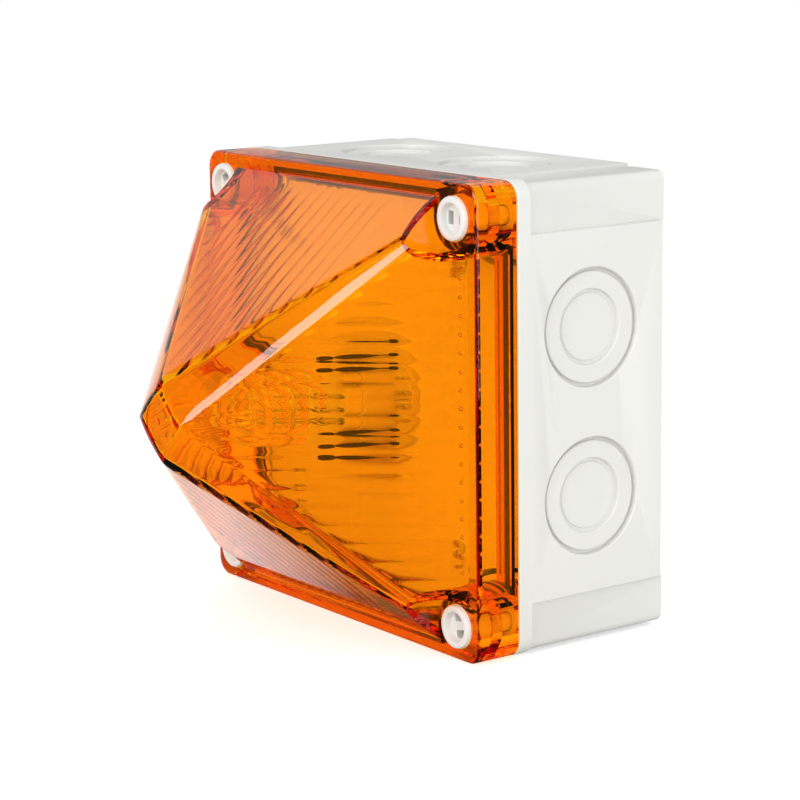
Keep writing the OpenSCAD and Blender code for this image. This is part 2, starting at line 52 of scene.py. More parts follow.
WELD_GAP = 2e-6  # points closer than this many metres are one
SHARP = 35.0  # edges that turn more than this many degrees are shaded as edges
FLAT = 0.1  # faces that differ by less than this many degrees are joined
BROKEN = 40.0  # edges that turn more than this many degrees are broken
WHITE = (1.0, 1.0, 1.0)
PAST = 1.0  # how far a cutter stands clear of what it cuts
TURN = 2 * np.pi
Array = np.ndarray
Colour = tuple[float, float, float]
Inputs = dict[str, object]
Outline = Sequence[tuple[float, float]]
Mesh = bpy.types.Mesh
Piece = bpy.types.Object


# ---------- shader nodes ----------


def operator(operation: str) -> "tuple[Callable[[Wire, Value], Wire], Callable[[Wire, Value], Wire]]":
    """Two methods that add a Math node of that operation: wire then value, and value then wire."""

    def forward(wire: "Wire", other: "Value") -> "Wire":
        """The operation on this and other."""
        return wire.tree.math(operation, wire, other)

    def reflected(wire: "Wire", other: "Value") -> "Wire":
        """The operation on other and this."""
        return wire.tree.math(operation, other, wire)

    return forward, reflected


@dataclass(frozen=True)
class Wire:
    """One output socket; Python's arithmetic on it adds Math nodes to its tree."""

    tree: "Tree"
    out: bpy.types.NodeSocket
    __add__, __radd__ = operator("ADD")
    __sub__, __rsub__ = operator("SUBTRACT")
    __mul__, __rmul__ = operator("MULTIPLY")

    def math(self, operation: str, *values: "Value") -> "Wire":
        """A Math node of that operation on this wire and the values."""
        return self.tree.math(operation, self, *values)

    def ramp(self, low: float, high: float) -> "Wire":
        """0 at low and 1 at high, held to that range."""
        inputs = {"Value": self, "From Min": low, "From Max": high}
        return self.tree.add("ShaderNodeMapRange", {"clamp": True}, inputs)["Result"]


Value = Union[Wire, float]


@dataclass(frozen=True)
class Outs:
    """A node whose outputs are read by name."""

    tree: "Tree"
    node: bpy.types.Node

    def __getitem__(self, name: str) -> Wire:
        """The output of that name that is switched on."""
        return Wire(self.tree, next(o for o in self.node.outputs if o.name == name and o.enabled))


class Tree:
    """The node tree of one material or world, emptied and ready to fill."""

    def __init__(self, owner: bpy.types.ID) -> None:
        """Empties the owner's tree."""
        owner.use_nodes = True
        self.nodes = owner.node_tree.nodes
        self.links = owner.node_tree.links
        self.nodes.clear()

    def feed(self, socket: bpy.types.NodeSocket, value: object) -> None:
        """Links a wire to the socket, or sets a constant there."""
        if isinstance(value, Wire):
            self.links.new(value.out, socket)
        elif socket.type == "RGBA":
            socket.default_value = (*value, 1.0)
        else:
            socket.default_value = value

    def add(self, kind: str, settings: Inputs, inputs: Inputs) -> Outs:
        """Adds a node.

        Args:
            kind: Blender's type name.
            settings: the node's own properties, set before its inputs.
            inputs: socket name to a wire or a constant, or to a tuple of wires for sockets of one name.

        Returns:
            The node's outputs.
        """
        node = self.nodes.new(kind)
        for name, value in settings.items():
            setattr(node, name, value)
        for name, value in inputs.items():
            wires = value if isinstance(value, tuple) and isinstance(value[0], Wire) else (value,)
            sockets = [i for i in node.inputs if i.name == name and i.enabled]
            for socket, one in zip(sockets, wires):
                self.feed(socket, one)
        return Outs(self, node)

    def math(self, operation: str, *values: Value) -> Wire:
        """A Math node of that operation on the values in order."""
        node = self.nodes.new("ShaderNodeMath")
        node.operation = operation
        for socket, value in zip(node.inputs, values):
            self.feed(socket, value)
        return Wire(self, node.outputs[0])

    def place(self) -> Wire:
        """Object coordinates, in metres."""
        return self.add("ShaderNodeTexCoord", {}, {})["Object"]

    def axes(self) -> tuple[Wire, Wire, Wire]:
        """Object coordinates as three numbers, in millimetres."""
        split = self.add("ShaderNodeSeparateXYZ", {}, {"Vector": self.place()})
        return split["X"] * (1 / MM), split["Y"] * (1 / MM), split["Z"] * (1 / MM)

    def noise(self, per_m: float, detail: float = 4, rough: float = 0.5, stretch: Colour = (1, 1, 1)) -> Wire:
        """Noise of so many features a metre, from 0 to 1, stretched along an axis where wanted."""
        at = self.add("ShaderNodeVectorMath", {"operation": "MULTIPLY"}, {"Vector": self.place()})
        at.node.inputs[1].default_value = stretch
        inputs = {"Vector": at["Vector"], "Scale": per_m, "Detail": detail, "Roughness": rough}
        return self.add("ShaderNodeTexNoise", {}, inputs)["Fac"]

    def mix(self, share: Value, a: "Wire | Colour", b: "Wire | Colour") -> Wire:
        """Colour a where share is 0 and b where it is 1."""
        node = self.nodes.new("ShaderNodeMix")
        node.data_type = "RGBA"
        for socket, value in zip([s for s in node.inputs if s.enabled], (share, a, b)):
            self.feed(socket, value)
        return Wire(self, next(o for o in node.outputs if o.enabled))

    def bump(self, height: Wire, depth: float) -> Wire:
        """Normal of a height from 0 to 1 that stands for so many metres."""
        return self.add("ShaderNodeBump", {}, {"Height": height, "Distance": depth})["Normal"]

    def surface(self, shader: Wire, volume: "Wire | None" = None) -> None:
        """Ends the tree in that shader, with a volume where there is one."""
        inputs: Inputs = {"Surface": shader}
        if volume is not None:
            inputs["Volume"] = volume
        self.add("ShaderNodeOutputMaterial", {}, inputs)


@dataclass(frozen=True)
class Finish:
    """A finish that is one Principled shader."""

    name: str  # the material's name
    slot: str  # the record's slot that it stands for
    colour: Colour  # the clean surface's colour
    rough: float = 0.45  # the clean surface's roughness
    metal: float = 0.0  # 1 for bare metal

    def material(self) -> bpy.types.Material:
        """The Blender material, made once."""
        material = bpy.data.materials.get(self.name)
        if material is None:
            material = bpy.data.materials.new(self.name)
            self.fill(Tree(material))
        return material

    def fill(self, tree: Tree) -> None:
        """Builds the nodes from this finish's own parts."""
        tree.surface(tree.add("ShaderNodeBsdfPrincipled", {}, self.inputs(tree))["BSDF"])

    def inputs(self, tree: Tree) -> Inputs:
        """The Principled shader's inputs."""
        return {"Base Color": self.colour, "Roughness": self.rough, "Metallic": self.metal}

    def shade(self, by: float) -> Colour:
        """This finish's colour times a number."""
        return tuple(min(1.0, c * by) for c in self.colour)


@dataclass(frozen=True)
class MouldedPlastic(Finish):
    """Spark-eroded mould grain, faint flow clouds, hand smudges and patches of dust."""

    grain: float = 2600.0  # how fine the mould's grain is, in features a metre
    grain_depth: float = 0.00004  # its height in metres
    smudge: float = 0.12  # how far the smudges change the roughness
    tint: Colour = (0.62, 0.6, 0.54)  # the colour that dust and age leave

    def inputs(self, tree: Tree) -> Inputs:
        """Clouds and specks in the colour, smudges in the roughness, grain in the normal."""
        clouds = tree.noise(18, 3).ramp(0.35, 0.7)
        specks = tree.noise(900, 2, 0.6).ramp(0.66, 0.8)
        dust = tree.noise(60, 5, 0.62, (1, 1, 0.35)).ramp(0.58, 0.85)
        clean = tree.mix(clouds, self.colour, self.shade(0.97))
        dusty = tree.mix(dust * 0.12, clean, self.tint)
        smudges = tree.noise(34, 4, 0.55).ramp(0.4, 0.72)
        scuffs = tree.noise(240, 3, 0.7, (0.12, 1, 1)).ramp(0.68, 0.8)
        grain = tree.noise(self.grain, 3, 0.65)
        height = grain + tree.noise(70, 2) * 0.6 - scuffs * 0.5
        return {
            "Base Color": tree.mix(specks * 0.1, dusty, self.tint),
            "Roughness": self.rough + (smudges - 0.5) * self.smudge + scuffs * 0.08,
            "IOR": 1.5,
            "Normal": tree.bump(height, self.grain_depth),
        }


@dataclass(frozen=True)
class Rubber(Finish):
    """Closed-cell seal strip: dull, dusty, with small pores."""

    def inputs(self, tree: Tree) -> Inputs:
        """Pores in the normal and dust in the colour."""
        cells = {"Vector": tree.place(), "Scale": 1500.0}
        pores = tree.add("ShaderNodeTexVoronoi", {"feature": "SMOOTH_F1"}, cells)["Distance"]
        dust = tree.noise(150, 4).ramp(0.5, 0.8)
        return {
            "Base Color": tree.mix(dust * 0.3, self.colour, (0.2, 0.17, 0.15)),
            "Roughness": self.rough + dust * 0.08,
            "Specular IOR Level": 0.3,
            "Normal": tree.bump(pores + tree.noise(90, 3) * 0.8, 0.00008),
        }


@dataclass(frozen=True)
class PlatedSteel(Finish):
    """Bright zinc plate with fine turning marks and faint bloom."""

    metal: float = 1.0

    def inputs(self, tree: Tree) -> Inputs:
        """Bloom in the colour and roughness, turning marks in the normal."""
        bloom = tree.noise(260, 4).ramp(0.4, 0.75)
        marks = tree.noise(2400, 2, 0.5, (1, 0.06, 1))
        return {
            "Base Color": tree.mix(bloom, self.colour, self.shade(0.78)),
            "Roughness": self.rough + bloom * 0.14 + marks * 0.08,
            "Metallic": self.metal,
            "Normal": tree.bump(marks, 0.00002),
        }


@dataclass(frozen=True)
class Laminate(Finish):
    """Solder mask over copper tracks, with the glass weave showing faintly."""

    def inputs(self, tree: Tree) -> Inputs:
        """Tracks as the joints of a wide brick pattern, in colour and height."""
        turn = {"Vector": tree.place(), "Rotation": (math.pi / 2, 0.0, 0.0)}
        turned = tree.add("ShaderNodeMapping", {}, turn)["Vector"]
        bricks = {"Vector": turned, "Scale": 34.0, "Mortar Size": 0.035, "Mortar Smooth": 0.1, "Bias": 0.0}
        tracks = tree.add("ShaderNodeTexBrick", {"offset": 0.37, "squash": 1.6}, bricks)["Fac"]
        x, _, z = tree.axes()
        weave = (x * 4.2).math("SINE") * (z * 4.2).math("SINE")
        return {
            "Base Color": tree.mix(tracks, self.colour, self.shade(1.9)),
            "Roughness": self.rough + tree.noise(400, 3) * 0.1,
            "Normal": tree.bump(tracks + weave * 0.08, 0.00005),
            "Coat Weight": 0.5,
        }


@dataclass(frozen=True)
class WoundWire(Finish):
    """Turns of enamelled wire side by side."""

    turns_axis: int = 1  # 0, 1 or 2 for turns that follow each other along X, Y or Z
    pitch: float = 0.6  # distance from wire to wire in millimetres

    def inputs(self, tree: Tree) -> Inputs:
        """Rounded ridges in the normal, and painted shade in the colour that darkens each wire's sides
        towards the gaps between turns.
        """
        along = tree.axes()[self.turns_axis] + tree.noise(120, 2) * 0.25
        ridge = (along * (math.pi / self.pitch)).math("SINE").math("ABSOLUTE")
        return {
            # painted shade: each wire's sides darken to a quarter of its colour towards the gaps between
            # turns
            "Base Color": tree.mix(ridge.ramp(0.05, 0.6), self.shade(0.25), self.colour),
            "Roughness": self.rough + tree.noise(300, 3) * 0.12,
            "Metallic": self.metal,
            "Normal": tree.bump(ridge, 0.00022),
            "Coat Weight": 0.4,
        }


@dataclass(frozen=True)
class Speckled(Finish):
    """Fired or pressed material with fine grains: ceramic, ferrite, dipped film."""

    grains: float = 1400.0  # how many grains a metre
    contrast: float = 0.8  # the dark grains' share of the colour

    def inputs(self, tree: Tree) -> Inputs:
        """Grains in the colour, roughness and normal."""
        grains = tree.noise(self.grains, 4, 0.7)
        stain = tree.noise(80, 4).ramp(0.45, 0.8)
        body = tree.mix(grains.ramp(0.35, 0.75), self.colour, self.shade(self.contrast))
        return {
            "Base Color": tree.mix(stain * 0.35, body, self.shade(0.62)),
            "Roughness": self.rough + grains * 0.14,
            "Normal": tree.bump(grains, 0.00005),
        }


@dataclass(frozen=True)
class CanSleeve(Finish):
    """Shrunk vinyl sleeve with a pale polarity stripe down one side."""

    stripe: Colour = (0.62, 0.66, 0.72)  # the stripe's colour
    axis_z: float = 22.0  # Z of the can's axis
    radius: float = 11.0  # the can's radius
    stripe_edge: float = 0.86  # how far out towards -Z the stripe starts, as a share of the radius
    stripe_front: float = -43.5  # Y where the stripe ends, short of the can's front

    def inputs(self, tree: Tree) -> Inputs:
        """A stripe where the surface lies furthest towards -Z, and faint shrink ripples."""
        _, y, z = tree.axes()
        out = (self.axis_z - z) * (1 / self.radius)
        stripe = out.math("GREATER_THAN", self.stripe_edge) * y.math("GREATER_THAN", self.stripe_front)
        ripple = tree.noise(110, 3, 0.5, (1, 0.3, 1))
        return {
            "Base Color": tree.mix(stripe, self.colour, self.stripe),
            "Roughness": self.rough + ripple * 0.12,
            "Normal": tree.bump(ripple, 0.00012),
            "Coat Weight": 0.35,
        }


@dataclass(frozen=True)
class Clear(Finish):
    """Clear or tinted material that light passes into and lamps shine through."""

    index: float = 1.49  # refractive index
    absorb: Colour = (0.0, 0.0, 0.0)  # absorption per metre in red, green and blue; all 0 for clear glass
    ripple: float = 0.00002  # height of the moulded surface's slow ripple, in metres

    def fill(self, tree: Tree) -> None:
        """Glass that lets lamps through, over an absorbing volume.

        The volume takes exp(-density x (1 - colour) x distance) of each colour, so density is the
        largest absorption and colour is one minus each share of it.
        """
        scratches = tree.noise(900, 2, 0.6, (1, 0.08, 0.5)).ramp(0.66, 0.82)
        smudges = tree.noise(42, 4, 0.55).ramp(0.45, 0.75)
        height = tree.noise(55, 2) + scratches * 0.02
        inputs = {
            "Base Color": self.colour,
            "Roughness": self.rough + smudges * 0.012 + scratches * 0.012,
            "IOR": self.index,
            "Transmission Weight": 1.0,
            "Normal": tree.bump(height, self.ripple),
        }
        glass = tree.add("ShaderNodeBsdfPrincipled", {}, inputs)["BSDF"]
        through = tree.add("ShaderNodeBsdfTransparent", {}, {"Color": (0.97, 0.97, 0.97)})["BSDF"]
        shadow = tree.add("ShaderNodeLightPath", {}, {})["Is Shadow Ray"]
        mixed = tree.add("ShaderNodeMixShader", {}, {"Fac": shadow, "Shader": (glass, through)})
        most = max(self.absorb)
        volume = None
        if most > 0:
            tint = tuple(1 - a / most for a in self.absorb)
            volume = tree.add("ShaderNodeVolumeAbsorption", {}, {"Color": tint, "Density": most})["Volume"]
        tree.surface(mixed["Shader"], volume)


BOX_GREY = MouldedPlastic("box plastic", "box_grey", (0.80, 0.80, 0.765), 0.42)
AMBER = Clear("amber clear plastic", "lens_amber", (0.97, 0.48, 0.03), 0.0, 0.0, 1.5, (1.0, 34.0, 420.0))
SCREW_WHITE = MouldedPlastic("screw plastic", "screw_white", (0.84, 0.83, 0.80), 0.34, grain_depth=0.00002)
SEAL = Rubber("seal rubber", "seal_dark", (0.15, 0.135, 0.125), 0.72)
TRAY_WHITE = MouldedPlastic("tray plastic", "tray_white", (0.77, 0.77, 0.75), 0.3, grain_depth=0.00002)
ZINC = PlatedSteel("zinc plate", "steel_zinc", (0.74, 0.75, 0.77), 0.24)
LEAD_DARK = PlatedSteel("blued spring", "steel_zinc", (0.035, 0.032, 0.035), 0.3, 0.7)
BOARD = Laminate("circuit laminate", "board_green", (0.03, 0.16, 0.07), 0.35)
SOCKET = MouldedPlastic("socket plastic", "socket_cream", (0.66, 0.64, 0.58), 0.4)
TUBE_GLASS = Clear("flash glass", "tube_glass", (1.0, 1.0, 1.0), 0.0, 0.0, 1.47)
CERAMIC = Speckled("fired ceramic", "base_ceramic", (0.78, 0.74, 0.66), 0.4, contrast=0.93)
LEAD_RED = MouldedPlastic("lead sleeve", "lead_red", (0.55, 0.04, 0.03), 0.4, tint=(0.4, 0.15, 0.12))
CAN_BLUE = CanSleeve("can sleeve", "capacitor_blue", (0.02, 0.035, 0.11), 0.3)
FERRITE = Speckled("pressed ferrite", "ferrite", (0.06, 0.06, 0.065), 0.5)
COPPER = WoundWire("enamelled winding", "winding_copper", (0.72, 0.30, 0.12), 0.28, 0.9)
COIL_YELLOW = Speckled("dipped coil", "coil_yellow", (0.72, 0.48, 0.07), 0.35, contrast=0.88)
FILM_RED = Speckled("dipped film", "film_red", (0.42, 0.06, 0.03), 0.28, contrast=0.85)
SINK = PlatedSteel("bent aluminium", "sink_aluminium", (0.70, 0.71, 0.72), 0.38)
PACKAGE = Speckled("moulded package", "package_black", (0.025, 0.025, 0.027), 0.45)
RESISTOR = Speckled("resistor lacquer", "resistor_tan", (0.52, 0.38, 0.22), 0.35, contrast=0.9)
TERMINAL = MouldedPlastic(
    "terminal plastic", "terminal_green", (0.05, 0.26, 0.12), 0.4, tint=(0.3, 0.36, 0.3)
)


# ---------- surfaces ----------


def stacked(*axes: Union[Array, float]) -> Array:
    """Coordinates put together into points."""
    return np.stack(np.broadcast_arrays(*axes), axis=-1)


def circle(angle: Array) -> Array:
    """Points of the unit circle."""
    return stacked(np.cos(angle), np.sin(angle))


class Skin:
    """Gathers grids of points into one closed mesh."""

    def __init__(self) -> None:
        """Starts empty."""
        self.points: list[Array] = []
        self.quads: list[Array] = []
        self.count = 0

    def grid(self, points: Array, around: bool = False) -> "Skin":
        """Adds a grid of quads.

        Args:
            points: rows by columns by 3, in millimetres.
            around: True if the last column joins the first.

        Returns:
            This skin.
        """
        rows, columns = points.shape[:2]
        index = np.arange(rows * columns).reshape(rows, columns) + self.count
        if around:
            index = np.concatenate([index, index[:, :1]], axis=1)
        quads = np.stack([index[:-1, :-1], index[:-1, 1:], index[1:, 1:], index[1:, :-1]], axis=-1)
        self.points.append(points.reshape(-1, 3))
        self.quads.append(quads.reshape(-1, 4))
        self.count += rows * columns
        return self

    def tube(self, rings: Array) -> "Skin":
        """Adds a closed tube of rings, its first and last ring drawn in to their own middles."""
        first = np.broadcast_to(rings[:1].mean(axis=1, keepdims=True), rings[:1].shape)
        last = np.broadcast_to(rings[-1:].mean(axis=1, keepdims=True), rings[-1:].shape)
        return self.grid(np.concatenate([first, rings, last]), around=True)

    def mesh(self, name: str, sharp: float = SHARP) -> Mesh:
        """The welded mesh, its faces pointing out.

        Args:
            name: the mesh's name.
            sharp: edges that turn more than this many degrees stay sharp.

        Returns:
            The mesh, in metres.
        """
        mesh = bpy.data.meshes.new(name)
        mesh.from_pydata(np.concatenate(self.points) * MM, [], np.concatenate(self.quads))
        weld(mesh)
        crisp(mesh, sharp)
        return mesh


def weld(mesh: Mesh) -> None:
    """Merges points that are as good as one, drops empty faces and turns the rest outwards."""
    edit = bmesh.new()
    edit.from_mesh(mesh)
    bmesh.ops.remove_doubles(edit, verts=edit.verts, dist=WELD_GAP)
    bmesh.ops.dissolve_degenerate(edit, edges=edit.edges, dist=WELD_GAP / 2)
    bmesh.ops.recalc_face_normals(edit, faces=edit.faces)
    edit.to_mesh(mesh)
    edit.free()


def crisp(mesh: Mesh, sharp: float) -> None:
    """Shades the mesh smooth, apart from edges that turn more than so many degrees."""
    mesh.polygons.foreach_set("use_smooth", np.ones(len(mesh.polygons), bool))
    mesh.set_sharp_from_angle(angle=math.radians(sharp))
    mesh.update()


def rounded_squares(half: Array, radius: Array, arc: int) -> Array:
    """Outlines of squares with round corners, one for each half width and radius.

    A point at angle a of a corner lies at the corner's centre plus radius times (cos a, sin a).

    Args:
        half: half widths.
        radius: corner radii.
        arc: steps in each corner.

    Returns:
        Outlines by points by 2, in X and Z.
    """
    a = np.linspace(0, np.pi / 2, arc + 1)
    turns = np.arange(4) * np.pi / 2
    angle = (turns[:, None] + a[None, :]).ravel()
    middle = np.repeat(turns + np.pi / 4, arc + 1)
    sign = np.sign(circle(middle))
    half, radius = np.atleast_1d(half)[:, None, None], np.atleast_1d(radius)[:, None, None]
    return sign * (half - radius) + radius * circle(angle)


def loft(outlines: Array, y: Array) -> Array:
    """Outlines in X and Z, each set at its own Y."""
    return stacked(outlines[..., 0], np.asarray(y, float)[:, None], outlines[..., 1])


def lathe(profile: Outline, at: tuple[float, float], sides: int) -> Array:
    """A profile of (radius, Y) turned once round a line along Y through (X, Z).

    A point at angle a lies at (x + r cos a, y, z + r sin a).
    """
    r, y = np.array(profile, float).T
    ring = circle(np.linspace(0, TURN, sides, endpoint=False))
    return loft(np.array(at) + r[:, None, None] * ring, y)


def sweep(path: Array, radius: float, sides: int) -> Array:
    """Rings of a round tube carried along a path.

    Each ring stands square to the path; its first arm is the part of the way out from the Y axis
    that is square to the path, and its second arm is square to both.

    Args:
        path: points by 3.
        radius: the tube's radius.
        sides: points in a ring.

    Returns:
        Points by sides by 3.
    """
    step = np.gradient(path, axis=0)
    step /= np.linalg.norm(step, axis=1, keepdims=True)
    out = path * (1, 0, 1) + (1e-6, 0, 0)
    out = out - step * np.sum(out * step, axis=1, keepdims=True)
    out /= np.linalg.norm(out, axis=1, keepdims=True)
    side = np.cross(step, out)
    a = np.linspace(0, TURN, sides, endpoint=False)[None, :, None]
    arm = out[:, None] * np.cos(a) + side[:, None] * np.sin(a)
    return path[:, None] + arm * radius


def smooth_path(points: Array, steps: int) -> Array:
    """A Catmull-Rom curve through the points.

    Each span blends the four points around it by cubic weights. Past each end stands the mirror
    image of the next point but one.
    """
    p = np.concatenate([2 * points[:1] - points[1:2], points, 2 * points[-1:] - points[-2:-1]])
    t = np.linspace(0, 1, steps, endpoint=False)[:, None, None]
    a, b, c, d = p[:-3], p[1:-2], p[2:-1], p[3:]
    curved, steep = 2 * a - 5 * b + 4 * c - d, 3 * b - a - 3 * c + d
    spans = 0.5 * (2 * b + (c - a) * t + curved * t**2 + steep * t**3)
    return np.concatenate([spans.transpose(1, 0, 2).reshape(-1, 3), points[-1:]])


# ---------- pieces ----------


class Body(Enum):
    """The bodies that pieces ride on."""

    BOX = "box"
    COVER = "cover"


class Joining(Enum):
    """How two solids are combined."""

    ADD = "UNION"
    CUT = "DIFFERENCE"
    KEEP_COMMON = "INTERSECT"


def linked(name: str, data: bpy.types.ID) -> Piece:
    """A new object in the scene."""
    thing = bpy.data.objects.new(name, data)
    bpy.context.scene.collection.objects.link(thing)
    return thing


def show(mesh: Mesh, finish: Finish, body: str, *nodes: str) -> Piece:
    """Puts a finished mesh in the scene.

    Args:
        mesh: the mesh, in place.
        finish: its finish.
        body: the body that it rides on.
        nodes: the CAD nodes that it stands for.

    Returns:
        The new object.
    """
    piece = linked(mesh.name, mesh)
    mesh.materials.clear()
    mesh.materials.append(finish.material())
    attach(piece, body)
    if nodes:
        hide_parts(*nodes)
    log.info("%s: %d faces, %s, on %s", mesh.name, len(mesh.polygons), finish.name, body)
    return piece


def combine(base: Mesh, how: Joining, *tools: Mesh) -> Mesh:
    """Joins, cuts or trims a closed mesh with others, in order.

    Args:
        base: the mesh to start from.
        how: the way to combine.
        tools: the other meshes, which are used up.

    Returns:
        The new mesh.
    """
    piece = linked("work", base)
    helpers = [linked("tool", tool) for tool in tools]
    for helper in helpers:
        modifier = piece.modifiers.new("join", "BOOLEAN")
        modifier.operation = how.value
        modifier.solver = "MANIFOLD"
        modifier.object = helper
    graph = bpy.context.evaluated_depsgraph_get()
    result = bpy.data.meshes.new_from_object(piece.evaluated_get(graph), depsgraph=graph)
    for used in (piece, *helpers):
        bpy.data.objects.remove(used)
    return result


def softened(node: str, finish: Finish, edge: float, body: str = Body.BOX.value) -> Piece:
    """A copy of a CAD node with its edges broken, as a mould or a tool leaves them.

    Args:
        node: the CAD node, which the copy stands for.
        finish: its finish.
        edge: width of the broken edges.
        body: the body that it rides on.

    Returns:
        The new object.
    """
    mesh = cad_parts[node].data.copy()
    mesh.name = node + "_finished"
    edit = bmesh.new()
    edit.from_mesh(mesh)
    bmesh.ops.remove_doubles(edit, verts=edit.verts, dist=WELD_GAP)
    bmesh.ops.dissolve_limit(edit, angle_limit=math.radians(FLAT), verts=edit.verts, edges=edit.edges)
    edit.to_mesh(mesh)
    edit.free()
    crisp(mesh, SHARP)
    piece = show(mesh, finish, body, node)
    bevel = piece.modifiers.new("broken edges", "BEVEL")
    bevel.width = edge * MM
    bevel.segments = 2
    bevel.limit_method = "ANGLE"
    bevel.angle_limit = math.radians(BROKEN)
    bevel.use_clamp_overlap = True
    return piece


@dataclass
class Planes:
    """The sizes that several parts share."""

    half: float = 65.0  # half the part's width
    lens_back: float = -52.3  # Y of the cover's back
    rim: float = -66.2  # Y of the rim's front
    apex: float = -125.3  # Y of the flat at the top of the pyramid
    screw: float = 55.5  # how far the lid-screw axes lie from the middle in X and Z

    def screws(self) -> list[tuple[float, float]]:
        """The four lid-screw axes in X and Z."""
        return [(x * self.screw, z * self.screw) for x in (1, -1) for z in (1, -1)]


# Rows up a main face and steps across a chamfer, from 0 to 1 and closer together at the ends.
FACE_ROWS = np.concatenate([[0, 0.012, 0.03], np.linspace(0.06, 0.94, 22), [0.965, 0.982, 0.992, 1]])
HALF_STEPS = np.array([0, 0.02, 0.05, 0.1, 0.16, 0.22, 0.25, 0.28, 0.38])
STEPS = np.concatenate([HALF_STEPS, [0.5], 1 - HALF_STEPS[::-1]])


@dataclass
class Pyramid:
    """An eight-faced pyramid on a square base, cut off in a diamond."""

    base: float  # half the base
    top: float  # half the diamond's diagonal
    base_y: float  # where the base lies
    top_y: float  # where the diamond lies
    columns: Array  # places across a main face
    blend: float = 0.8  # how wide the ridges are rounded, in depth
    band: float = 0.0  # how far the narrow band down each side of a chamfer is cut back at the diamond
    crease: float = 0.75  # where that band starts across the chamfer

    @property
    def rise(self) -> float:
        """Height from base to diamond."""
        return self.base_y - self.top_y

    @property
    def slope(self) -> float:
        """How far a main face leans in for each unit of depth."""
        return (self.base - self.top) / self.rise

    def depth(self, x: Array, z: Array) -> Array:
        """Depth over the base at (x, z): the smooth least of the depths of all its planes.

        The smooth least of a and b within k is their least minus k/4 times the square of
        1 - |a - b|/k, where that is positive.
        """
        x, z = np.abs(x), np.abs(z)
        ridge = self.rise / (2 * self.base - self.top)
        planes = [
            (self.base - x) / self.slope,
            (self.base - z) / self.slope,
            self.rise - ridge * (x + z - self.top),
            np.full_like(x, self.rise),
        ]
        if self.band:
            planes.append(np.minimum(self.band_depth(x, z), self.band_depth(z, x)))
        least = planes[0]
        for plane in planes[1:]:
            near = np.clip(1 - np.abs(least - plane) / self.blend, 0, 1)
            least = np.minimum(least, plane) - near**2 * self.blend / 4
        return least

    def band_depth(self, x: Array, z: Array) -> Array:
        """Depth of the band's plane.

        It holds the base corner, the crease's end on the diamond's edge, and the diamond's corner on
        the first axis cut back by the band's depth.
        """
        tilt = self.band / ((1 - self.crease) * self.top)
        at_x, at_z = self.crease * self.top, (1 - self.crease) * self.top
        fall_z = (self.rise - tilt * (self.base - at_x)) / (2 * self.base - self.top)
        return self.rise - (fall_z + tilt) * (x - at_x) - fall_z * (z - at_z)

    def main_face(self) -> tuple[Array, Array]:
        """X and Z over the top main face, columns by rows.

        A column at x runs from the base line up to the ridge, where its depth is
        rise x (1 - |x| / base), and z falls by the slope as the depth grows.
        """
        x = self.columns[:, None]
        full = self.rise * (1 - np.abs(x) / self.base)
        deep = full * FACE_ROWS[None, :]
        return np.broadcast_to(x, deep.shape), self.base - self.slope * deep

    def chamfer(self) -> tuple[Array, Array]:
        """X and Z over the chamfer between the top and the right main face.

        It is ruled: a point is w of the way from the top face's ridge to the right face's ridge at
        the same distance t from the diamond.
        """
        t = self.columns[self.columns >= -1e-9][:, None] / self.base
        w = STEPS[None, :]
        inner, outer = self.base * t, self.top + (self.base - self.top) * t
        return inner * (1 - w) + outer * w, outer * (1 - w) + inner * w

    def diamond(self) -> tuple[Array, Array]:
        """X and Z over the diamond: u along one pair of edges and v along the other."""
        u, v = np.meshgrid(STEPS, STEPS, indexing="ij")
        return self.top * (u - v), self.top * (1 - u - v)

    def skin(self, relief: "Callable[[Array, Array, int], Array] | None" = None) -> Skin:
        """The closed pyramid.

        Args:
            relief: how far the surface of a main face is pushed out along its normal, from the place
                across it, the depth and the number of the face; none for a plain pyramid.

        Returns:
            The skin, with a flat base.
        """
        skin = Skin()
        normal = np.array([0, -self.slope, 1]) / math.hypot(self.slope, 1)
        for turn in range(4):
            x, z = self.main_face()
            face = self.raised(x, z)
            face[:, 0, 1] = self.base_y
            if relief is not None:
                face = face + relief(x, self.depth(x, z), turn)[..., None] * normal
            skin.grid(self.turned(face, turn))
            skin.grid(self.turned(self.raised(*self.chamfer()), turn))
        skin.grid(self.raised(*self.diamond()))
        outline = stacked(self.columns, self.base_y, self.base)
        for turn in range(4):
            line = self.turned(outline, turn)
            skin.grid(np.stack([line, np.broadcast_to([0, self.base_y, 0], line.shape)]))
        return skin

    def raised(self, x: Array, z: Array) -> Array:
        """The surface's points over (x, z)."""
        return stacked(x, self.base_y - self.depth(x, z), z)

    @staticmethod
    def turned(points: Array, turn: int) -> Array:
        """The points turned so many quarters about the Y axis."""
        c, s = round(math.cos(turn * math.pi / 2)), round(math.sin(turn * math.pi / 2))
        x, y, z = points[..., 0], points[..., 1], points[..., 2]
        return stacked(c * x + s * z, y, c * z - s * x)


@dataclass(frozen=True)
class Fluting:
    """The flutes on one kind of main face."""

    reach: float  # how far they go across the face from its middle
    start: float  # depth over the base line at which they start
    radius: float  # radius of a flute's hollow


